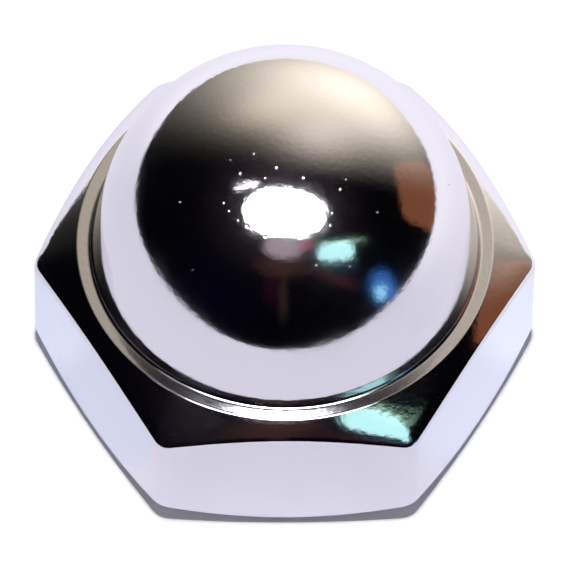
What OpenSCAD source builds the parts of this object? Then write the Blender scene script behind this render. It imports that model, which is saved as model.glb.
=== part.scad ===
// Low-crown cap nut for a 3/8 inch coarse thread: a hexagon with a domed, closed end.
// The origin is the centre of the bearing face, and +Z points up through the dome.

/* [Hexagon] */
// Width across the flats, measured over the crowned middles of two opposite flats
across_flats = 14.29; // [13.2:0.01:19]
// How far polishing leaves the middle of each flat proud of its two ends
flat_crown = 0.17; // [0.05:0.01:0.4]
// Radius of the six upright corners
corner_r = 0.7; // [0.3:0.05:1.2]
// Height of the hexagon, from the bearing face to the ledge round the dome
hex_h = 5.27; // [4.4:0.01:9]

/* [Chamfers] */
// Slope of the chamfer that runs down from the ledge, in degrees below level
top_chamfer_angle = 42.5; // [25:0.5:60]
// Slope of the chamfer under the hexagon, in degrees above level
bottom_chamfer_angle = 24; // [10:1:40]
// How far the bearing face stops short of the middle of a flat
bearing_inset = 0.75; // [0.3:0.05:1.2]

/* [Dome] */
// Diameter of the ball that the dome is part of
dome_d = 11.9; // [10.4:0.1:12.6]
// Height of the ball's centre above the ledge
neck_h = 0.73; // [0.4:0.01:1.6]
// How far above the ball's widest place the foot of the dome starts to spread, in degrees
spread_angle = 9.2; // [2:0.2:20]
// Radius of the wide hollow in which the foot of the dome spreads
spread_r = 8.8; // [4:0.1:20]
// Radius of the small hollow where that foot meets the ledge
fillet_r = 0.2; // [0.05:0.01:0.38]
// Width of the ledge outside the foot of the dome
ledge_w = 0.32; // [0.2:0.01:0.6]
// Radius that softens the outer edge of the ledge
ledge_edge_r = 0.12; // [0.05:0.01:0.25]

/* [Threaded hole] */
// Major diameter of the thread that the nut takes
thread_d = 9.525; // [8.4:0.005:9.6]
// Diameter of the tapped hole, at the crests of the thread
bore_d = 7.94; // [6.8:0.01:8.2]
// Point angle of the drill that leaves the closed end of the hole, in degrees
drill_point_angle = 118; // [90:1:140]
// Metal left between the drill point and the top of the dome
crown_t = 1; // [0.8:0.1:2]
// How much wider than the thread the countersunk mouth is
mouth_relief = 0.38; // [0.1:0.02:0.6]
// Included angle of the countersink, in degrees
countersink_angle = 90; // [60:1:120]

/* [Hidden] */
$fn = 120;
// Number of flats, and the angle from one to the next
flats = 6;
flat_step = 360 / flats;
// Overrun of a cutting shape past the face that it opens
cut = 1;
// How far a rounding arc stands outside the faces it joins, so that it crosses them cleanly
arc_proud = 0.002;

// Hexagon: each flat is a shallow arc, whose ends lie on a hexagon that is narrower by two crowns
end_apothem = across_flats / 2 - flat_crown;
half_flat = end_apothem * tan(flat_step / 2);
flat_r = (half_flat * half_flat + flat_crown * flat_crown) / (2 * flat_crown);
flat_centre = across_flats / 2 - flat_r;
// Distance from the axis to the centre of the arc that rounds a corner, inside both flats' arcs
corner_run = flat_r - corner_r;
corner_sin = flat_centre * sin(flat_step / 2) / corner_run;
corner_at = flat_centre * cos(flat_step / 2) + corner_run * sqrt(1 - corner_sin * corner_sin);

// Heights and radii of the turned shape
dome_r = dome_d / 2;
dome_z = hex_h + neck_h;
overall_h = dome_z + dome_r;
// Foot of the dome: the wide hollow touches the ball from outside, and runs down to the ledge
spread_centre = [0, dome_z] + (dome_r + spread_r) * [cos(spread_angle), sin(spread_angle)];
spread_z = dome_z + dome_r * sin(spread_angle);
spread_drop = spread_centre.y - hex_h;
foot_r = spread_centre.x - sqrt(spread_r * spread_r - spread_drop * spread_drop);
// The small hollow touches the wide one from inside, and the ledge
fillet_run = spread_r - fillet_r;
fillet_drop = spread_drop - fillet_r;
fillet_centre = [
    spread_centre.x - sqrt(fillet_run * fillet_run - fillet_drop * fillet_drop),
    hex_h + fillet_r
];
ledge_r = foot_r + ledge_w;
bearing_r = across_flats / 2 - bearing_inset;
blank_r = across_flats / 2 / cos(flat_step / 2) + cut;
ledge_tangent = ledge_edge_r * tan(top_chamfer_angle / 2);

// Hole: countersink, tapped length and drill point
bore_r = bore_d / 2;
mouth_r = (thread_d + mouth_relief) / 2;
mouth_h = (mouth_r - bore_r) / tan(countersink_angle / 2);
point_h = bore_r / tan(drill_point_angle / 2);
point_z = overall_h - crown_t;
shoulder_z = point_z - point_h;

// What is left outside an arc that rounds the corner between two tangent points
module corner_waste(from, to, outward, centre, r) {
    difference() {
        polygon([from, from + outward, to + outward, to]);
        translate(centre) circle(r = r + arc_proud);
    }
}

// Outline of the hexagon: six shallow arcs, with a flat facing -Y and a corner on +X
module hexagon_outline() {
    centre = [corner_at, 0];
    // Points where the corner's arc touches the arcs of its two neighbouring flats
    flat_middle = [flat_centre * cos(flat_step / 2), flat_centre * sin(flat_step / 2)];
    reach = (centre - flat_middle) / norm(centre - flat_middle) * corner_r;
    upper = centre + reach;
    lower = [upper.x, -upper.y];
    difference() {
        intersection_for(i = [0 : flats - 1])
            rotate(flat_step * (i + 0.5)) translate([flat_centre, 0]) circle(r = flat_r);
        for (i = [0 : flats - 1])
            rotate(flat_step * i) corner_waste(lower, upper, [2 * corner_r, 0], centre, corner_r);
    }
}

// Section of the turned blank: bearing face, lower chamfer, upper chamfer and ledge
module blank_section() {
    upper_run = blank_r - ledge_r;
    lower_run = blank_r - bearing_r;
    difference() {
        polygon([
            [0, 0],
            [bearing_r, 0],
            [blank_r, lower_run * tan(bottom_chamfer_angle)],
            [blank_r, hex_h - upper_run * tan(top_chamfer_angle)],
            [ledge_r, hex_h],
            [0, hex_h]
        ]);
        corner_waste(
            [ledge_r - ledge_tangent, hex_h],
            [ledge_r + ledge_tangent * cos(top_chamfer_angle),
             hex_h - ledge_tangent * sin(top_chamfer_angle)],
            ledge_edge_r * [sin(top_chamfer_angle / 2), cos(top_chamfer_angle / 2)],
            [ledge_r - ledge_tangent, hex_h - ledge_edge_r],
            ledge_edge_r
        );
    }
}

// Section of the closed end: the dome, the foot in which it spreads and the small hollow below
module dome_section() {
    intersection() {
        translate([0, dome_z]) circle(r = dome_r);
        translate([0, dome_z]) square(dome_r);
    }
    difference() {
        translate([0, hex_h - cut]) square([ledge_r, spread_z - hex_h + cut]);
        translate(spread_centre) circle(r = spread_r + arc_proud / 2);
    }
    on_foot = fillet_centre + fillet_r * (fillet_centre - spread_centre) / fillet_run;
    corner_waste(
        on_foot,
        [fillet_centre.x, hex_h],
        [-fillet_r, -fillet_r],
        fillet_centre,
        fillet_r
    );
}

// Section of the blind hole, from below the bearing face to the drill point
module hole_section() {
    polygon([
        [0, -cut],
        [mouth_r + cut * tan(countersink_angle / 2), -cut],
        [bore_r, mouth_h],
        [bore_r, shoulder_z],
        [0, point_z]
    ]);
}

module cap_nut() {
    color([0.83, 0.83, 0.86]) difference() {
        union() {
            intersection() {
                linear_extrude(hex_h) hexagon_outline();
                rotate_extrude() blank_section();
            }
            rotate_extrude() dome_section();
        }
        rotate_extrude() hole_section();
    }
}

cap_nut();
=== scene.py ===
from math import asin, atan2, cos, hypot, pi, radians, sin, sqrt, tan, tau

import bmesh
import bpy
from bpy.props import (
    FloatProperty, FloatVectorProperty, IntProperty, PointerProperty)
from mathutils import Matrix, Vector


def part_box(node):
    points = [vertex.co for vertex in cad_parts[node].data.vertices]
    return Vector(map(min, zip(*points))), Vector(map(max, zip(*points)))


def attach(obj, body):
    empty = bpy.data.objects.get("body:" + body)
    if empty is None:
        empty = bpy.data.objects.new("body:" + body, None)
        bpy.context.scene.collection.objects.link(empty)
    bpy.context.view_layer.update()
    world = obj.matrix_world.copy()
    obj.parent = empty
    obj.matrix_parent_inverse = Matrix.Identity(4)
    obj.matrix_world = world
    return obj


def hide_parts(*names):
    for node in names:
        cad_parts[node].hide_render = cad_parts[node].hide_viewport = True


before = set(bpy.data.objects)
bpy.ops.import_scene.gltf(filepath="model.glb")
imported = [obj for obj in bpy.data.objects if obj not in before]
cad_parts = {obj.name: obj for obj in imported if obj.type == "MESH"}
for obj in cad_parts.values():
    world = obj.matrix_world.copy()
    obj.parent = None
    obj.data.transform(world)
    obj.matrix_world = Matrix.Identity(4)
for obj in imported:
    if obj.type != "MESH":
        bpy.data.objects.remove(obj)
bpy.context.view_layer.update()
NUT_LOW, NUT_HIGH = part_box("cap_nut")

bl_info = {
    "name": "Plated cap nut",
    "version": (1, 0, 0),
    "blender": (4, 5, 0),
    "location": "3D View > Sidebar > Cap nut",
    "description": "A bright plated cap nut with a tapped blind hole, and its studio",
    "category": "Object",
}

MM = 0.001
NODE = "cap_nut"
SIXTH_TURN = tau / 6
MERGE = 2e-8
OVERALL_HEIGHT = NUT_HIGH.z - NUT_LOW.z

# Points in the parts of the nut's section
CHAMFER_POINTS = 11
FOOT_POINTS = 24
DOME_POINTS = 56


# User settings

def length(name, description, millimetres):
    """A length that a user may change, given here in millimetres"""
    return FloatProperty(name=name, description=description, default=millimetres * MM,
                         min=0, precision=5, subtype="DISTANCE", unit="LENGTH")


def angle(name, description, degrees):
    """An angle that a user may change, given here in degrees"""
    return FloatProperty(name=name, description=description, default=radians(degrees),
                         subtype="ANGLE", unit="ROTATION")


def tint(name, description, colour):
    """A linear colour that a user may change"""
    return FloatVectorProperty(name=name, description=description, default=colour,
                               size=3, min=0, soft_max=1, subtype="COLOR")


class NutSizes(bpy.types.PropertyGroup):
    """Sizes of the nut: the main ones as its solid has them, and on the ledge, the dome's
    foot and the chamfers those that the plating's reflections call for"""
    across_flats: length("Across flats", "Width over the crowned middles of two flats", 14.29)
    flat_crown: length("Flat crown", "How far a flat's middle stands proud of its ends", 0.17)
    corner_radius: length("Corner radius", "Rounding of the six upright corners", 0.7)
    hexagon_height: length("Hexagon height", "Bearing face to the ledge round the dome", 5.27)
    top_chamfer: angle("Top chamfer", "Slope of the upper chamfer below level", 40.4)
    shoulder_slope: angle("Shoulder slope", "Its steeper slope beside the flats", 46.4)
    shoulder_reach: length("Shoulder reach", "Run in which it gets steeper", 0.56)
    chamfer_crown: FloatProperty(name="Chamfer crown", default=0.11, min=0, max=1,
                                 description="Slope lost per mm further in from there")
    bottom_chamfer: angle("Bottom chamfer", "Slope of the lower chamfer above level", 25.5)
    bearing_inset: length("Bearing inset", "Bearing face's edge in from the flats", 0.55)
    dome_width: length("Dome width", "Diameter of the ball that the dome is part of", 11.9)
    spread_angle: angle("Spread angle", "Where the dome's foot starts to spread", 9)
    spread_radius: length("Spread radius", "Wide hollow in which the foot spreads", 30)
    fillet_radius: length("Fillet radius", "Small hollow between the foot and the ledge", 0.14)
    ledge_width: length("Ledge width", "Ledge outside the dome's foot", 0.443)
    ledge_fall: angle("Ledge fall", "Slope of the ledge down towards the chamfer", 1)
    ledge_drop: length("Ledge drop", "Ledge's outer edge below the hexagon height", 0.005)
    ledge_edge: length("Ledge edge", "Rounding between ledge and chamfer", 0.11)
    shoulder_edge: length("Shoulder edge", "Rounding between chamfer and flats", 0.33)
    foot_edge: length("Foot edge", "Rounding between flats and lower chamfer", 0.13)
    bearing_edge: length("Bearing edge", "Rounding at the edge of the bearing face", 0.12)
    thread_width: length("Thread width", "Major diameter of the thread", 9.525)
    thread_pitch: length("Thread pitch", "Rise of the thread in one turn", 1.5875)
    bore_width: length("Bore width", "Diameter drilled for the thread", 7.94)
    mouth_relief: length("Mouth relief", "Countersink wider than the thread by", 0.38)
    crown: length("Crown", "Metal above the drill point", 1)
    drill_point: angle("Drill point", "Angle of the hole's end", 118)
    thread_end: length("Thread end", "Full thread below the hole's shoulder", 1.9)
    steps_round: IntProperty(name="Steps round", description="Columns of faces round the nut",
                             default=288, min=96, max=480)
    thread_steps: IntProperty(name="Thread steps", description="Columns in one thread turn",
                              default=144, min=48, max=288)


class PlateFinish(bpy.types.PropertyGroup):
    """Colours and wear of the plating and of the bare thread"""
    plate: tint("Plate", "Colour of the bright plating", (0.83, 0.83, 0.86))
    plate_roughness: FloatProperty(name="Plate roughness", description="Blur of reflections",
                                   default=0.11, min=0, max=1)
    bore: tint("Bore", "Colour of the thin plating in the hole", (0.5, 0.49, 0.48))
    bore_roughness: FloatProperty(name="Bore roughness", description="Blur in the hole",
                                  default=0.24, min=0, max=1)
    ledge_roughness: FloatProperty(name="Ledge roughness", min=0, max=1, default=0.12,
                                   description="Blur on the ledge, left unpolished")
    dull_radius: length("Dull radius", "Middle of that unpolished ring from the axis", 6.45)
    dull_height: length("Dull height", "Middle of the ring above the bearing face", 5.32)
    dull_reach: length("Dull reach", "How far the ring reaches from its middle", 0.18)
    peel: length("Peel depth", "Depth of the plating's fine ripple", 0.003)
    wave: length("Wave depth", "Depth of the polisher's slow waves", 0.004)
    pit: length("Pit depth", "Depth of the small pits", 0.006)


class StudioSettings(bpy.types.PropertyGroup):
    """The pad, the light and the camera"""
    pad_width: length("Pad width", "Left to right size of the white pad", 108)
    pad_front: length("Pad front", "Pad in front of the nut's axis", 25.4)
    pad_back: length("Pad back", "Pad behind the nut's axis", 62)
    pad_corner: length("Pad corner", "Rounding of the pad's front corners", 28)
    pad_opening: length("Pad opening", "Radius under the nut where the pad is clear", 6.52)
    pad: tint("Pad", "Colour of the white pad", (0.72, 0.695, 0.775))
    lamp: FloatProperty(name="Overhead lamp", description="1 renders a colour as written",
                        default=0.89, min=0)
    lamp_spread: angle("Lamp spread", "Width of the overhead lamp as the nut sees it", 5)
    fill: FloatProperty(name="Fill", description="Plain light from all round", default=0.2,
                        min=0)
    fill_tint: tint("Fill tint", "Colour of that plain light", (0.9, 0.87, 1))
    view_width: length("View width", "Width that the camera takes in", 18.13)
    view_distance: length("View distance", "Camera to the nut", 500)
    view_height: angle("View height", "Camera above the horizon", 56.75)
    view_side: angle("View side", "Camera round from the front", -1.2)
    view_roll: angle("View roll", "Camera turned about its own line", 0.9)
    view_drop: length("View drop", "Picture's middle below the ledge's centre", 1.3)


# Building helpers

def toward(azimuth, elevation):
    """Unit vector for a direction in degrees: azimuth 0 is the front, 90 the right"""
    a, e = radians(azimuth), radians(elevation)
    return Vector((sin(a) * cos(e), -cos(a) * cos(e), sin(e)))


def softened(corners, guard=0.03 * MM):
    """Points along a run of (r, z, radius, steps) corners, each rounded by a tangent arc.
    A point just outside each arc keeps its shading off the straight part. A corner that
    is only (r, z) stays as it is."""
    points = [Vector(corners[0][:2])]
    for (before, here, after) in zip(corners, corners[1:], corners[2:]):
        p = Vector(here[:2])
        if len(here) == 2:
            points.append(p)
            continue
        back = (Vector(before[:2]) - p).normalized()
        on = (Vector(after[:2]) - p).normalized()
        radius, steps = here[2:]
        half_turn = (pi - back.angle(on)) / 2
        reach = radius * tan(half_turn)
        centre = p + (back + on).normalized() * (radius / cos(half_turn))
        points.append(p + back * (reach + guard))
        start = p + back * reach - centre
        side = 1 if back.x * on.y - back.y * on.x < 0 else -1
        for step in range(steps + 1):
            turned = start.copy()
            turned.rotate(Matrix.Rotation(side * 2 * half_turn * step / steps, 2))
            points.append(centre + turned)
        points.append(p + on * (reach + guard))
    points.append(Vector(corners[-1][:2]))
    return points


class Hexagon:
    """Outline of the nut's six crowned flats and rounded corners, seen from above"""

    def __init__(self, sizes):
        crown = sizes.flat_crown
        end_apothem = sizes.across_flats / 2 - crown
        half_flat = end_apothem * tan(SIXTH_TURN / 2)
        self.flat_radius = (half_flat ** 2 + crown ** 2) / (2 * crown)
        self.flat_centre = sizes.across_flats / 2 - self.flat_radius
        self.corner_radius = sizes.corner_radius
        run = self.flat_radius - self.corner_radius
        corner_sine = self.flat_centre * sin(SIXTH_TURN / 2) / run
        self.corner_centre = (self.flat_centre * cos(SIXTH_TURN / 2)
                              + run * sqrt(1 - corner_sine ** 2))
        corner = Vector((cos(SIXTH_TURN / 2), sin(SIXTH_TURN / 2))) * self.corner_centre
        outward = (corner - Vector((self.flat_centre, 0))).normalized()
        tangent = corner + outward * self.corner_radius
        self.tangent_angle = atan2(tangent.y, tangent.x)

    def radius(self, azimuth):
        """Distance from the axis to the outline; azimuth 0 points at a corner"""
        off_corner = (azimuth + SIXTH_TURN / 2) % SIXTH_TURN - SIXTH_TURN / 2
        off_flat = SIXTH_TURN / 2 - abs(off_corner)
        if off_flat < self.tangent_angle:
            off, centre, radius = off_flat, self.flat_centre, self.flat_radius
        else:
            off, centre, radius = off_corner, self.corner_centre, self.corner_radius
        return centre * cos(off) + sqrt(radius ** 2 - (centre * sin(off)) ** 2)


def dome_foot(sizes, dome_z):
    """How the dome's foot stands: a wide hollow touches the ball from outside and comes
    down to the ledge. Gives the hollow's centre, the ledge's outer radius, its inner end
    as a point, and the hollow's slope there"""
    hollow = sizes.spread_radius
    centre = Vector((0, dome_z)) + (sizes.dome_width / 2 + hollow) * Vector(
        (cos(sizes.spread_angle), sin(sizes.spread_angle)))
    drop = centre.y - sizes.hexagon_height
    ledge = centre.x - sqrt(hollow ** 2 - drop ** 2) + sizes.ledge_width
    foot = ledge - sizes.ledge_width
    closer_tries = 6
    for _ in range(closer_tries):
        foot_z = (sizes.hexagon_height - sizes.ledge_drop
                  + (ledge - foot) * tan(sizes.ledge_fall))
        drop = centre.y - foot_z
        foot = centre.x - sqrt(hollow ** 2 - drop ** 2)
    return centre, ledge, (foot, foot_z), asin(drop / hollow)


def chamfer_height(sizes, radius, wall, ledge):
    """Height of the upper chamfer at a radius. It grows steeper outwards, most of all just
    before the flats, which stand at the radius called wall, cut it"""
    slope = tan(sizes.top_chamfer)
    steeper = tan(sizes.shoulder_slope) - slope
    bend_at = wall - sizes.shoulder_reach
    bent = max(radius - bend_at, 0)
    level = max(bend_at - ledge, 0) ** 2 - max(bend_at - radius, 0) ** 2
    return (sizes.hexagon_height - sizes.ledge_drop - (radius - ledge) * slope
            + sizes.chamfer_crown / MM * level / 2
            - steeper * bent ** 2 / (2 * sizes.shoulder_reach))


def outer_section(sizes, wall):
    """Half section of the nut's outside, from the bearing face to the top of the dome,
    where the flats stand at the radius called wall"""
    dome = sizes.dome_width / 2
    dome_z = OVERALL_HEIGHT - dome
    hollow_at, ledge, foot, foot_slope = dome_foot(sizes, dome_z)
    past_fillet = 0.35 * MM
    lowest_turn = foot_slope - past_fillet / sizes.spread_radius
    above_foot = hollow_at - sizes.spread_radius * Vector((cos(lowest_turn), sin(lowest_turn)))

    # The bearing face starts part of the way out, and close_bearing_face fills the rest
    mouth = (sizes.thread_width + sizes.mouth_relief) / 2
    bearing = sizes.across_flats / 2 - sizes.bearing_inset
    face_start = mouth + 0.6 * (bearing - mouth)

    chamfer_inner = ledge + 0.1 * MM
    chamfer_outer = wall - 0.22 * MM
    chamfer = []
    for step in range(CHAMFER_POINTS):
        share = 1 - step / (CHAMFER_POINTS - 1)
        radius = chamfer_inner + (chamfer_outer - chamfer_inner) * share
        chamfer.append((radius, chamfer_height(sizes, radius, wall, ledge)))
    points = softened([
        (face_start, 0),
        (bearing, 0, sizes.bearing_edge, 4),
        (wall, (wall - bearing) * tan(sizes.bottom_chamfer), sizes.foot_edge, 7),
        (wall, chamfer_height(sizes, wall, wall, ledge), sizes.shoulder_edge, 9),
        *chamfer,
        (ledge, sizes.hexagon_height - sizes.ledge_drop, sizes.ledge_edge, 6),
        (*foot, sizes.fillet_radius, 12),
        tuple(above_foot),
    ])
    for step in range(1, FOOT_POINTS + 1):
        turn = lowest_turn + (sizes.spread_angle - lowest_turn) * step / FOOT_POINTS
        points.append(hollow_at - sizes.spread_radius * Vector((cos(turn), sin(turn))))
    for step in range(1, DOME_POINTS + 1):
        turn = sizes.spread_angle + (pi / 2 - sizes.spread_angle) * step / DOME_POINTS
        points.append(Vector((dome * cos(turn), dome_z + dome * sin(turn))))
    return points


def shell(bm, sizes):
    """Turns the section into a round blank, then gives it its six flats"""
    hexagon = Hexagon(sizes)
    place = bm.verts.layers.int.new("place")
    blank = outer_section(sizes, hexagon.radius(0))
    run = []
    for number, point in enumerate(blank):
        vert = bm.verts.new((point.x, 0, point.y))
        vert[place] = number
        run.append(vert)
    edges = [bm.edges.new(pair) for pair in zip(run, run[1:])]
    bmesh.ops.spin(bm, geom=run + edges, cent=(0, 0, 0), axis=(0, 0, 1), dvec=(0, 0, 0),
                   angle=tau, steps=sizes.steps_round, use_merge=True)
    # Columns stand closer together at the corners, where the outline turns fastest
    closeness = 0.8
    sections = {}
    for vert in bm.verts:
        if hypot(vert.co.x, vert.co.y) < MERGE:
            continue
        turn = atan2(vert.co.y, vert.co.x)
        column = round(turn / tau * sizes.steps_round)
        turn -= closeness / 6 * sin(6 * turn)
        if column not in sections:
            sections[column] = outer_section(sizes, hexagon.radius(turn))
        r, z = sections[column][vert[place]]
        vert.co = (r * cos(turn), r * sin(turn), z)
    bmesh.ops.remove_doubles(bm, verts=bm.verts, dist=MERGE)


def thread_profile(sizes):
    """One pitch of the thread, from the root's flat over the crest: height and radius"""
    root, crest = sizes.thread_width / 2, sizes.bore_width / 2
    pitch = sizes.thread_pitch
    flank_angle = radians(30)
    flank = (root - crest) * tan(flank_angle)
    flat = pitch / 8
    half_crest = (pitch - flat) / 2 - flank
    profile = [(flat * k / 4, root) for k in range(5)]
    profile += [(flat + flank * k / 6, root + (crest - root) * k / 6) for k in range(1, 7)]
    profile += [(flat + flank + half_crest * k / 2, crest) for k in range(1, 5)]
    profile += [(pitch - flank + flank * k / 6, crest + (root - crest) * k / 6)
                for k in range(1, 6)]
    return profile


def thread(bm, sizes):
    """Winds the thread's profile up the hole, countersinks its mouth and runs it out into
    the plain end of the bore, which a drill point closes"""
    crest = sizes.bore_width / 2
    pitch = sizes.thread_pitch
    mouth = sizes.thread_width / 2 + sizes.mouth_relief / 2
    tip_z = OVERALL_HEIGHT - sizes.crown
    shoulder_z = tip_z - crest / tan(sizes.drill_point / 2)
    full_z = shoulder_z - sizes.thread_end
    run_out = pitch * 0.9
    plain_z = full_z + run_out + 0.05 * MM

    lowest = -2 * pitch
    turns = int((shoulder_z - lowest) / pitch) + 2
    run = [bm.verts.new((r, 0, lowest + pitch * turn + up))
           for turn in range(turns) for up, r in thread_profile(sizes)]
    edges = [bm.edges.new(pair) for pair in zip(run, run[1:])]
    bmesh.ops.spin(bm, geom=run + edges, cent=(0, 0, 0), axis=(0, 0, 1),
                   dvec=(0, 0, pitch / sizes.thread_steps), angle=tau,
                   steps=sizes.thread_steps)
    bmesh.ops.remove_doubles(bm, verts=bm.verts, dist=MERGE)

    # The thread fades into the bore at its inner end, and the mouth opens at 45 degrees
    for vert in bm.verts:
        r = hypot(vert.co.x, vert.co.y)
        done = min(max((vert.co.z - full_z) / run_out, 0), 1)
        cut = max(r + (crest - r) * done, mouth - vert.co.z)
        vert.co.xy *= cut / r

    for height, up in ((0, -1), (plain_z, 1)):
        everything = bm.verts[:] + bm.edges[:] + bm.faces[:]
        bmesh.ops.bisect_plane(bm, geom=everything, plane_co=(0, 0, height),
                               plane_no=(0, 0, up), clear_outer=True)
    bmesh.ops.remove_doubles(bm, verts=bm.verts, dist=MERGE)
    for height, width in ((shoulder_z, crest), (tip_z, 0)):
        rim = [e for e in bm.edges if e.is_boundary and e.verts[0].co.z > plain_z / 2]
        grown = bmesh.ops.extrude_edge_only(bm, edges=rim)["geom"]
        for vert in (g for g in grown if isinstance(g, bmesh.types.BMVert)):
            r = hypot(vert.co.x, vert.co.y)
            vert.co = (vert.co.x * width / r, vert.co.y * width / r, height)
    bmesh.ops.remove_doubles(bm, verts=bm.verts, dist=MERGE)


def close_bearing_face(bm):
    """Joins the nut's outside to the mouth of its hole with the flat bearing face"""
    rims = [e for e in bm.edges if e.is_boundary]
    bmesh.ops.triangle_fill(bm, edges=rims, use_beauty=True, normal=(0, 0, -1))


def closed_nut(sizes):
    """The whole surface as a bmesh: the threaded hole in material 1, the rest in 0"""
    bm = bmesh.new()
    thread(bm, sizes)
    for face in bm.faces:
        face.material_index = 1
    outside = bmesh.new()
    shell(outside, sizes)
    joined = bpy.data.meshes.new("joined")
    outside.to_mesh(joined)
    outside.free()
    bm.from_mesh(joined)
    bpy.data.meshes.remove(joined)
    close_bearing_face(bm)
    bmesh.ops.recalc_face_normals(bm, faces=bm.faces)

    crease = radians(26)
    for face in bm.faces:
        face.smooth = True
    for edge in bm.edges:
        if not edge.is_manifold:
            raise RuntimeError("the nut's surface isn't closed")
        edge.smooth = edge.calc_face_angle() < crease
    return bm


# Node helpers

def socket(group, name, kind, out=False, default=None):
    """Adds one input or output to a node group"""
    made = group.interface.new_socket(name, in_out="OUTPUT" if out else "INPUT",
                                      socket_type=f"NodeSocket{kind}")
    if default is not None:
        made.default_value = default


class Wiring:
    """Short ways to place and join nodes in one tree"""

    def __init__(self, tree):
        self.tree = tree

    def node(self, kind, **values):
        made = self.tree.nodes.new(kind)
        for name, value in values.items():
            setattr(made, name, value)
        return made

    def put(self, value, target):
        """Joins an output to an input, or sets the input's own value"""
        if isinstance(value, bpy.types.NodeSocket):
            self.tree.links.new(value, target)
        else:
            target.default_value = value

    def maths(self, operation, *values):
        made = self.node("ShaderNodeMath", operation=operation)
        for value, target in zip(values, made.inputs):
            self.put(value, target)
        return made.outputs[0]

    def vector(self, operation, *values):
        made = self.node("ShaderNodeVectorMath", operation=operation)
        for value, target in zip(values, made.inputs):
            self.put(value, target)
        number = operation in {"DOT_PRODUCT", "LENGTH", "DISTANCE"}
        return made.outputs["Value" if number else "Vector"]

    def scale(self, vector, factor):
        made = self.node("ShaderNodeVectorMath", operation="SCALE")
        self.put(vector, made.inputs[0])
        self.put(factor, made.inputs["Scale"])
        return made.outputs[0]

    def smooth(self, value, low, high, to_low=0.0, to_high=1.0):
        made = self.node("ShaderNodeMapRange", interpolation_type="SMOOTHSTEP")
        for number, part in enumerate((value, low, high, to_low, to_high)):
            self.put(part, made.inputs[number])
        return made.outputs[0]

    def noise(self, vector, scale, detail, roughness=0.5):
        made = self.node("ShaderNodeTexNoise")
        self.put(vector, made.inputs["Vector"])
        made.inputs["Scale"].default_value = scale
        made.inputs["Detail"].default_value = detail
        made.inputs["Roughness"].default_value = roughness
        return made.outputs["Fac"]

    def blend(self, factor, a, b):
        made = self.node("ShaderNodeMix", data_type="RGBA")
        self.put(factor, made.inputs["Factor"])
        for value, target in ((a, "A_Color"), (b, "B_Color")):
            entry = next(s for s in made.inputs if s.identifier == target)
            self.put(value if isinstance(value, bpy.types.NodeSocket) else (*value, 1), entry)
        return next(s for s in made.outputs if s.identifier == "Result_Color")

    def place(self, location=(0, 0, 0)):
        """Object coordinates through a Mapping node"""
        where = self.node("ShaderNodeTexCoord")
        mapping = self.node("ShaderNodeMapping")
        mapping.inputs["Location"].default_value = location
        self.tree.links.new(where.outputs["Object"], mapping.inputs["Vector"])
        return mapping.outputs["Vector"]


def fresh_material(name):
    """An empty node material and its wiring, with an output node"""
    material = bpy.data.materials.new(name)
    material.use_nodes = True
    material.node_tree.nodes.clear()
    wiring = Wiring(material.node_tree)
    output = wiring.node("ShaderNodeOutputMaterial")
    return material, wiring, output


# How fine the marks in the plating are
RIPPLES_PER_METRE = 5200
WAVES_PER_METRE = 420
PIT_CELLS_PER_METRE = 1150
SMEARS_PER_METRE = 260


def surface_marks_group():
    """Height of fine ripple, slow waves and small pits, in metres, and where the pits are"""
    group = bpy.data.node_groups.new("surface_marks", "ShaderNodeTree")
    socket(group, "Vector", "Vector")
    for name in ("Ripple", "Wave", "Pit"):
        socket(group, name, "Float", default=0.0)
    socket(group, "Height", "Float", out=True)
    socket(group, "Pits", "Float", out=True)
    w = Wiring(group)
    inputs = w.node("NodeGroupInput").outputs
    output = w.node("NodeGroupOutput")
    ripple = w.noise(inputs["Vector"], RIPPLES_PER_METRE, detail=2.5)
    wave = w.noise(inputs["Vector"], WAVES_PER_METRE, detail=1)
    cells = w.node("ShaderNodeTexVoronoi", feature="F1")
    w.put(inputs["Vector"], cells.inputs["Vector"])
    cells.inputs["Scale"].default_value = PIT_CELLS_PER_METRE
    cell_tone = w.node("ShaderNodeSeparateColor")
    w.put(cells.outputs["Color"], cell_tone.inputs[0])
    without_pit, narrowest, wider_by = 0.72, 0.03, 0.05
    chosen = w.maths("GREATER_THAN", cell_tone.outputs["Red"], without_pit)
    width = w.maths("MULTIPLY_ADD", cell_tone.outputs["Green"], wider_by, narrowest)
    pit = w.smooth(cells.outputs["Distance"], 0.0, width, 1.0, 0.0)
    pits = w.maths("MULTIPLY", pit, chosen)
    height = w.maths("MULTIPLY", ripple, inputs["Ripple"])
    height = w.maths("MULTIPLY_ADD", wave, inputs["Wave"], height)
    depth = w.maths("MULTIPLY", inputs["Pit"], -1.0)
    height = w.maths("MULTIPLY_ADD", pits, depth, height)
    w.put(height, output.inputs["Height"])
    w.put(pits, output.inputs["Pits"])
    return group


def dome_pit_group():
    """Adds one round pit's depth to a height"""
    group = bpy.data.node_groups.new("dome_pit", "ShaderNodeTree")
    socket(group, "Vector", "Vector")
    socket(group, "Centre", "Vector")
    for name in ("Radius", "Depth", "Height"):
        socket(group, name, "Float", default=0.0)
    socket(group, "Height", "Float", out=True)
    w = Wiring(group)
    inputs = w.node("NodeGroupInput").outputs
    off = w.vector("DISTANCE", inputs["Vector"], inputs["Centre"])
    sunk = w.smooth(off, 0.0, inputs["Radius"], 1.0, 0.0)
    depth = w.maths("MULTIPLY", inputs["Depth"], -1.0)
    height = w.maths("MULTIPLY_ADD", sunk, depth, inputs["Height"])
    w.put(height, w.node("NodeGroupOutput").inputs["Height"])
    return group


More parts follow.
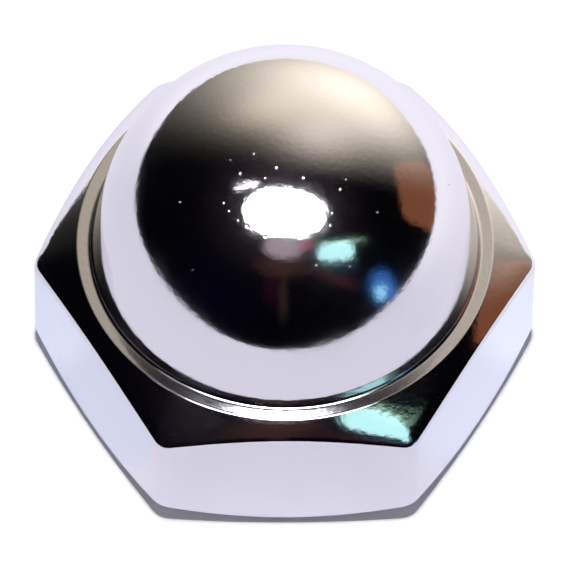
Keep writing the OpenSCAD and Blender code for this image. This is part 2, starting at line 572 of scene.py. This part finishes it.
# Pits that show on the dome: azimuth and elevation in degrees, radius and depth in mm
DOME_PITS = (
    (-48.5, 76.6, 0.043, 0.0087), (-60.2, 70.0, 0.037, 0.0074),
    (-13.0, 75.7, 0.056, 0.0124), (-43.5, 69.3, 0.074, 0.0124), (15.8, 72.2, 0.056, 0.0099),
    (-21.5, 71.7, 0.043, 0.0087), (39.8, 64.4, 0.056, 0.0124), (-60.7, 49.7, 0.043, 0.0161),
    (50.1, 51.7, 0.043, 0.0136), (-38.3, 36.2, 0.037, 0.0112), (12.5, 45.6, 0.037, 0.0099),
    (-40.4, 59.4, 0.062, 0.0087), (-35.1, 58.2, 0.05, 0.0074), (-27.9, 57.0, 0.05, 0.0074),
    (-21.9, 56.2, 0.074, 0.0087), (-11.5, 54.5, 0.062, 0.0062), (27.2, 59.4, 0.043, 0.0074),
    (23.5, 56.2, 0.043, 0.0074), (26.4, 42.3, 0.037, 0.0099), (48.5, 65.6, 0.031, 0.0099),
    (87.6, 30.4, 0.068, 0.0124),
)


def dull_ring(w, radius, height, reach):
    """1 on a ring round the axis, 0 away from it"""
    parts = w.node("ShaderNodeSeparateXYZ")
    w.put(w.place(location=(0, 0, -height)), parts.inputs[0])

    def span(a, b):
        squares = [w.maths("POWER", side, 2.0) for side in (a, b)]
        return w.maths("SQRT", w.maths("ADD", *squares))

    out = w.maths("SUBTRACT", span(parts.outputs["X"], parts.outputs["Y"]), radius)
    off = span(out, parts.outputs["Z"])
    return w.smooth(off, reach * 0.8, reach * 1.2, 1.0, 0.0)


def plate_material(name, group, colour, roughness, marks, spread, pits=(), ring=None):
    """Metal with the shared surface marks. Marks are the three heights in metres, spread
    is how uneven the roughness is, pits are (centre, radius, depth) in metres, and ring is
    (radius, height, reach, roughness) of the ring that stays unpolished"""
    material, w, output = fresh_material(name)
    centred = w.place(location=(0, 0, -OVERALL_HEIGHT / 2))
    surface = w.node("ShaderNodeGroup", node_tree=group)
    w.put(centred, surface.inputs["Vector"])
    for value, target in zip(marks, ("Ripple", "Wave", "Pit")):
        surface.inputs[target].default_value = value
    height = surface.outputs["Height"]
    pit_group = dome_pit_group() if pits else None
    for centre, radius, depth in pits:
        pit = w.node("ShaderNodeGroup", node_tree=pit_group)
        for value, target in ((centred, "Vector"), (centre, "Centre"), (radius, "Radius"),
                              (depth, "Depth"), (height, "Height")):
            w.put(value, pit.inputs[target])
        height = pit.outputs["Height"]
    bump = w.node("ShaderNodeBump")
    bump.inputs["Distance"].default_value = 1.0
    w.put(height, bump.inputs["Height"])

    # Smears make it a little rougher and darker, pits rougher, the ring both
    smears = w.noise(centred, SMEARS_PER_METRE, detail=4, roughness=0.65)
    rough = w.smooth(smears, 0.35, 0.75, roughness * (1 - spread), roughness * (1 + spread))
    pit_roughness, smeared_tone, dull_tone = 0.06, 0.93, 0.82
    rough = w.maths("MULTIPLY_ADD", surface.outputs["Pits"], pit_roughness, rough)
    smeared = tuple(c * smeared_tone for c in colour)
    base = w.blend(w.smooth(smears, 0.5, 0.8), colour, smeared)
    if ring:
        *place, ring_roughness = ring
        dull = dull_ring(w, *place)
        rough = w.maths("MAXIMUM", rough, w.maths("MULTIPLY", dull, ring_roughness))
        base = w.blend(dull, base, tuple(c * dull_tone for c in colour))
    metal = w.node("ShaderNodeBsdfPrincipled")
    metal.inputs["Metallic"].default_value = 1.0
    w.put(base, metal.inputs["Base Color"])
    w.put(rough, metal.inputs["Roughness"])
    w.put(bump.outputs["Normal"], metal.inputs["Normal"])
    w.put(metal.outputs["BSDF"], output.inputs["Surface"])
    return material


def mesh_object(name, bm, materials):
    """Makes a bmesh an object at the origin, with its place in its mesh"""
    mesh = bpy.data.meshes.new(name)
    bm.to_mesh(mesh)
    bm.free()
    for material in materials:
        mesh.materials.append(material)
    made = bpy.data.objects.new(name, mesh)
    bpy.context.scene.collection.objects.link(made)
    return made


# Studio

def glow_group():
    """How near a direction is to a soft lamp's: 1 in its middle, fading with Tightness"""
    group = bpy.data.node_groups.new("soft_glow", "ShaderNodeTree")
    socket(group, "Direction", "Vector")
    socket(group, "Lamp", "Vector")
    socket(group, "Tightness", "Float")
    socket(group, "Colour", "Vector")
    socket(group, "Light", "Vector", out=True)
    w = Wiring(group)
    inputs = w.node("NodeGroupInput").outputs
    near = w.vector("DOT_PRODUCT", inputs["Direction"], inputs["Lamp"])
    off = w.maths("SUBTRACT", near, 1.0)
    fall = w.maths("EXPONENT", w.maths("MULTIPLY", off, inputs["Tightness"]))
    w.put(w.scale(inputs["Colour"], fall), w.node("NodeGroupOutput").inputs["Light"])
    return group


def panel_group():
    """Light of a flat panel seen in a direction, with soft and slightly uneven edges"""
    group = bpy.data.node_groups.new("panel", "ShaderNodeTree")
    for name in ("Direction", "Centre", "Right", "Up", "Colour"):
        socket(group, name, "Vector")
    for name in ("Half Width", "Half Height", "Power", "Softness", "Ragged"):
        socket(group, name, "Float")
    socket(group, "Light", "Vector", out=True)
    w = Wiring(group)
    inputs = w.node("NodeGroupInput").outputs
    ahead = w.vector("DOT_PRODUCT", inputs["Direction"], inputs["Centre"])
    total = None
    for side, half in (("Right", "Half Width"), ("Up", "Half Height")):
        across = w.vector("DOT_PRODUCT", inputs["Direction"], inputs[side])
        across = w.maths("DIVIDE", across, w.maths("MULTIPLY", ahead, inputs[half]))
        grown = w.maths("POWER", w.maths("ABSOLUTE", across), inputs["Power"])
        total = grown if total is None else w.maths("ADD", total, grown)
    off = w.maths("POWER", total, w.maths("DIVIDE", 1.0, inputs["Power"]))
    uneven = w.maths("SUBTRACT", w.noise(inputs["Direction"], 9, detail=3), 0.5)
    off = w.maths("MULTIPLY_ADD", uneven, inputs["Ragged"], off)
    inner = w.maths("SUBTRACT", 1.0, inputs["Softness"])
    outer = w.maths("ADD", 1.0, inputs["Softness"])
    shown = w.smooth(off, inner, outer, 1.0, 0.0)
    well_ahead = 0.05
    shown = w.maths("MULTIPLY", shown, w.maths("GREATER_THAN", ahead, well_ahead))
    w.put(w.scale(inputs["Colour"], shown), w.node("NodeGroupOutput").inputs["Light"])
    return group


# Soft lamps on the warm wall behind: azimuth, elevation, tightness, colour
WARM_LAMPS = (
    (157, 10, 4.54, (1.38, 1.23, 1.03)),
    (142, 62, 14.3, (0.51, 0.44, 0.38)),
    (-168, 40, 21.0, (0.34, 0.28, 0.2)),
)
# The wall's soft edge: direction of the wall, and how near to it the wall starts and is full
WARM_EDGE = ((0.124, 0.92, 0.371), 0.345, 0.867)
ROOM_DARK = (0.0009, 0.0008, 0.0016)
DIM_LAMPS = (
    (-6, 74, 9.0, (0.046, 0.032, 0.04)),
    (-40, 4, 9.0, (0.0, 0.0, 0.003)),
)
# Panels: azimuth, elevation, roll, half width, half height, power, softness, ragged, colour
PANELS = (
    # The main lamp and a small one beside it
    (-3.4, 68.4, -92, 0.26, 0.443, 2.4, 0.05, 0.25, (9, 9, 9.2)),
    (-82.4, 66.7, -5, 0.035, 0.125, 2.0, 0.3, 0.1, (2.2, 2.1, 2.3)),
    # Grey haze below it, brown under that, a pink card
    (-2.8, 46.4, -90, 0.105, 0.199, 2.4, 0.38, 0.4, (0.33, 0.27, 0.295)),
    (-4, 35.5, -90, 0.1, 0.24, 2.0, 0.7, 0.4, (0.032, 0.014, 0.011)),
    (17.4, 47.3, -10, 0.075, 0.05, 2.0, 0.45, 0.3, (0.26, 0.04, 0.1)),
    # A pale cyan card with its green and dark blue borders
    (38.9, 35.9, -27, 0.205, 0.092, 3.0, 0.16, 0.3, (0.64, 1.14, 1.12)),
    (45.7, 39.3, -32, 0.264, 0.028, 2.5, 0.4, 0.3, (0.22, 0.36, 0.26)),
    (38.2, 27.4, -30, 0.17, 0.04, 2.0, 0.5, 0.6, (0.02, 0.035, 0.065)),
    # A blue card with a bright middle
    (55.7, -0.3, -77, 0.2, 0.112, 2.0, 0.5, 0.7, (0.04, 0.16, 0.5)),
    (53.9, -2.4, -75, 0.09, 0.055, 2.0, 0.5, 0.5, (0.3, 0.6, 0.6)),
    # Faint dark red and brown cards in front
    (30.7, 22.4, -45, 0.28, 0.05, 2.4, 0.45, 0.3, (0.035, 0.009, 0.012)),
    (-8, 22.0, 0, 0.1, 0.2, 2.0, 0.6, 0.3, (0.009, 0.001, 0.003)),
    (-1.7, 15.0, -90, 0.24, 0.04, 2.4, 0.6, 0.3, (0.018, 0.013, 0.008)),
    # A large brown card at the right
    (105.9, 4.3, -71, 0.31, 0.25, 5.0, 0.1, 0.15, (0.195, 0.069, 0.032)),
)
ROOM_FLOOR = (0.55, 0.55, 0.58)
# Height of a direction where the room's floor starts and is full
FLOOR_EDGE = (-0.45, -0.75)
ROOM_RADIUS = 0.8


def room_material():
    """What the bright plating sees round it: a dark room, a warm wall, lamps and cards"""
    material, w, output = fresh_material("studio_room")
    direction = w.vector("NORMALIZE", w.place())
    glow, panel = glow_group(), panel_group()

    def lamps(rows, light=None):
        for azimuth, elevation, tightness, colour in rows:
            made = w.node("ShaderNodeGroup", node_tree=glow)
            w.put(direction, made.inputs["Direction"])
            made.inputs["Lamp"].default_value = toward(azimuth, elevation)
            made.inputs["Tightness"].default_value = tightness
            made.inputs["Colour"].default_value = colour
            one = made.outputs["Light"]
            light = one if light is None else w.vector("ADD", light, one)
        return light

    edge, edge_low, edge_high = WARM_EDGE
    behind = w.smooth(w.vector("DOT_PRODUCT", direction, edge), edge_low, edge_high)
    light = w.vector("ADD", w.scale(lamps(WARM_LAMPS), behind), ROOM_DARK)
    light = lamps(DIM_LAMPS, light)
    for azimuth, elevation, roll, half_width, half_height, power, soft, ragged, colour in PANELS:
        centre = toward(azimuth, elevation)
        level = Vector((cos(radians(azimuth)), sin(radians(azimuth)), 0))
        upright = centre.cross(level)
        upright *= 1 if upright.z > 0 else -1
        turn = radians(roll)
        made = w.node("ShaderNodeGroup", node_tree=panel)
        w.put(direction, made.inputs["Direction"])
        for name, value in (
                ("Centre", centre), ("Right", level * cos(turn) + upright * sin(turn)),
                ("Up", upright * cos(turn) - level * sin(turn)), ("Colour", colour),
                ("Half Width", half_width), ("Half Height", half_height),
                ("Power", power), ("Softness", soft), ("Ragged", ragged)):
            made.inputs[name].default_value = value
        light = w.vector("ADD", light, made.outputs["Light"])
    parts = w.node("ShaderNodeSeparateXYZ")
    w.put(direction, parts.inputs[0])
    below = w.smooth(parts.outputs["Z"], *FLOOR_EDGE)
    light = w.vector("ADD", light, w.scale(ROOM_FLOOR, below))
    emission = w.node("ShaderNodeEmission")
    w.put(light, emission.inputs["Color"])
    w.put(emission.outputs[0], output.inputs["Surface"])
    material.cycles.emission_sampling = "NONE"
    return material


# Painted pools of light and shade: what the pad's white comes to beside the front and side
# flats, as the plating sees it, brighter by the side flats and dimmer in front. x, y, inner and
# outer radius in millimetres, colour
PAD_PAINTED_LIGHT = (
    (-7.8, -3.6, 1.8, 3.6, (0.645, 0.67, 0.795)),
    (0, -8.6, 3.0, 4.6, (0.665, 0.645, 0.72)),
    (7.8, -3.6, 1.8, 3.6, (0.725, 0.745, 0.88)),
    (-8.9, 0.1, 1.2, 2.6, (0.73, 0.76, 0.89)),
    (8.9, 0.1, 1.2, 2.6, (0.82, 0.85, 1.0)),
)


def pad_material(studio):
    """White card: pure white to the camera, paler tones with painted light and shade to the
    plating, and nothing at all from underneath or inside the nut's bearing circle"""
    material, w, output = fresh_material("white_pad")
    here = w.place()
    parts = w.node("ShaderNodeSeparateXYZ")
    w.put(here, parts.inputs[0])

    # Painted light: it gets paler towards the back, and the further right the sooner
    rightward, paler_from, palest_at, paler_by = 0.5, -4 * MM, 30 * MM, 1.34
    back = w.smooth(w.maths("MULTIPLY_ADD", parts.outputs["X"], rightward, parts.outputs["Y"]),
                    paler_from, palest_at)
    tone = w.blend(back, studio.pad, tuple(min(c * paler_by, 1.0) for c in studio.pad))
    # Painted pools of light and shade round the nut, seen only in the plating
    for x, y, inner, outer, painted_light in PAD_PAINTED_LIGHT:
        off = w.vector("DISTANCE", here, (x * MM, y * MM, 0))
        tone = w.blend(w.smooth(off, inner * MM, outer * MM, 1.0, 0.0), tone, painted_light)
    path = w.node("ShaderNodeLightPath")
    seen = w.blend(path.outputs["Is Camera Ray"], tone, (1, 1, 1))
    white = w.node("ShaderNodeBsdfDiffuse")
    w.put(seen, white.inputs["Color"])
    clear = w.node("ShaderNodeBsdfTransparent")
    inside = w.maths("LESS_THAN", w.vector("LENGTH", here), studio.pad_opening)
    backfacing = w.node("ShaderNodeNewGeometry").outputs["Backfacing"]
    mix = w.node("ShaderNodeMixShader")
    for value, target in zip((w.maths("MAXIMUM", backfacing, inside), white.outputs[0],
                              clear.outputs[0]), mix.inputs):
        w.put(value, target)
    w.put(mix.outputs[0], output.inputs["Surface"])
    return material


def white_world(studio):
    """White to the camera, and a little plain fill for everything else"""
    world = bpy.data.worlds.new("white_studio")
    bpy.context.scene.world = world
    world.use_nodes = True
    world.node_tree.nodes.clear()
    w = Wiring(world.node_tree)
    path = w.node("ShaderNodeLightPath").outputs
    seen = w.maths("MAXIMUM", path["Is Camera Ray"],
                   w.maths("MAXIMUM", path["Is Glossy Ray"], path["Is Transmission Ray"]))
    strength = w.smooth(seen, 0.0, 1.0, studio.fill, 1.0)
    back = w.node("ShaderNodeBackground")
    w.put(w.blend(seen, tuple(studio.fill_tint), (1, 1, 1)), back.inputs["Color"])
    w.put(strength, back.inputs["Strength"])
    w.put(back.outputs[0], w.node("ShaderNodeOutputWorld").inputs["Surface"])


def add_camera(studio):
    """A long lens at the photograph's angle"""
    high, side, roll = studio.view_height, studio.view_side, studio.view_roll
    back = Vector((sin(side) * cos(high), -cos(side) * cos(high), sin(high)))
    right = Vector((cos(side), sin(side), 0))
    up = back.cross(right)
    right, up = right * cos(roll) + up * sin(roll), up * cos(roll) - right * sin(roll)
    ledge = Vector((0, 0, bpy.context.scene.nut_sizes.hexagon_height))
    aim = ledge - up * studio.view_drop
    data = bpy.data.cameras.new("camera")
    data.sensor_width = 36
    data.lens = data.sensor_width * studio.view_distance / studio.view_width
    camera = bpy.data.objects.new("camera", data)
    camera.matrix_world = Matrix.Translation(aim + back * studio.view_distance) @ Matrix(
        (right, up, back)).transposed().to_4x4()
    bpy.context.scene.collection.objects.link(camera)
    bpy.context.scene.camera = camera


# Operators

class OBJECT_OT_plated_cap_nut(bpy.types.Operator):
    """Builds the nut: domed cap, hexagon with crowned flats, and tapped blind hole"""
    bl_idname = "object.plated_cap_nut"
    bl_label = "Plated cap nut"

    def execute(self, context):
        sizes, finish = context.scene.nut_sizes, context.scene.plate_finish
        marks = surface_marks_group()
        dome = sizes.dome_width / 2
        dome_centre = Vector((0, 0, OVERALL_HEIGHT / 2 - dome))
        pits = [(dome_centre + toward(azimuth, elevation) * dome, radius * MM, depth * MM)
                for azimuth, elevation, radius, depth in DOME_PITS]
        ring = (finish.dull_radius, finish.dull_height, finish.dull_reach,
                finish.ledge_roughness)
        plate = plate_material("bright_plate", marks, tuple(finish.plate),
                               finish.plate_roughness,
                               (finish.peel, finish.wave, finish.pit), spread=0.35,
                               pits=pits, ring=ring)
        coarser = 6
        bore = plate_material("thread_plate", marks, tuple(finish.bore),
                              finish.bore_roughness,
                              (finish.peel * coarser, finish.wave, finish.pit),
                              spread=0.3)
        piece = mesh_object("plated_cap_nut", closed_nut(sizes), (plate, bore))
        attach(piece, "root")
        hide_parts(NODE)
        return {"FINISHED"}


class OBJECT_OT_cap_nut_studio(bpy.types.Operator):
    """Sets the white pad, the room that the plating mirrors, the light and the camera"""
    bl_idname = "object.cap_nut_studio"
    bl_label = "Studio"

    def execute(self, context):
        studio = context.scene.cap_nut_studio
        bm = bmesh.new()
        bmesh.ops.create_grid(bm, x_segments=1, y_segments=1, size=0.5)
        depth = studio.pad_front + studio.pad_back
        bmesh.ops.scale(bm, verts=bm.verts, vec=(studio.pad_width, depth, 1))
        bmesh.ops.translate(bm, verts=bm.verts,
                            vec=(0, (studio.pad_back - studio.pad_front) / 2, 0))
        front = [v for v in bm.verts if v.co.y < 0]
        bmesh.ops.bevel(bm, geom=front, offset=studio.pad_corner, offset_type="OFFSET",
                        affect="VERTICES", segments=12, profile=0.5, material=-1)
        pad = mesh_object("pad", bm, [pad_material(studio)])

        bm = bmesh.new()
        bmesh.ops.create_uvsphere(bm, u_segments=64, v_segments=32, radius=ROOM_RADIUS)
        room = mesh_object("room", bm, [room_material()])
        room.visible_camera = room.visible_diffuse = room.visible_shadow = False
        room.visible_transmission = room.visible_volume_scatter = False

        sun = bpy.data.lights.new("overhead", "SUN")
        sun.energy = pi * studio.lamp
        sun.angle = studio.lamp_spread
        lamp = bpy.data.objects.new("overhead", sun)
        lamp.visible_glossy = False
        context.scene.collection.objects.link(lamp)
        white_world(studio)
        add_camera(studio)
        context.scene.view_settings.view_transform = "Standard"
        return {"FINISHED"}


class VIEW3D_PT_cap_nut(bpy.types.Panel):
    """Sizes, finish and studio of the cap nut"""
    bl_idname = "VIEW3D_PT_cap_nut"
    bl_label = "Cap nut"
    bl_space_type = "VIEW_3D"
    bl_region_type = "UI"
    bl_category = "Cap nut"

    def draw(self, context):
        for operator, settings in (
                (OBJECT_OT_plated_cap_nut, (context.scene.nut_sizes,
                                            context.scene.plate_finish)),
                (OBJECT_OT_cap_nut_studio, (context.scene.cap_nut_studio,))):
            self.layout.operator(operator.bl_idname)
            for group in settings:
                column = self.layout.column()
                for name in group.__annotations__:
                    column.prop(group, name)


CLASSES = (NutSizes, PlateFinish, StudioSettings, OBJECT_OT_plated_cap_nut,
           OBJECT_OT_cap_nut_studio, VIEW3D_PT_cap_nut)


def register():
    for cls in CLASSES:
        bpy.utils.register_class(cls)
    bpy.types.Scene.nut_sizes = PointerProperty(type=NutSizes)
    bpy.types.Scene.plate_finish = PointerProperty(type=PlateFinish)
    bpy.types.Scene.cap_nut_studio = PointerProperty(type=StudioSettings)


def unregister():
    del bpy.types.Scene.cap_nut_studio
    del bpy.types.Scene.plate_finish
    del bpy.types.Scene.nut_sizes
    for cls in reversed(CLASSES):
        bpy.utils.unregister_class(cls)


def main():
    register()
    bpy.ops.object.plated_cap_nut()
    bpy.ops.object.cap_nut_studio()
    bpy.context.view_layer.update()


if __name__ == "__main__":
    main()
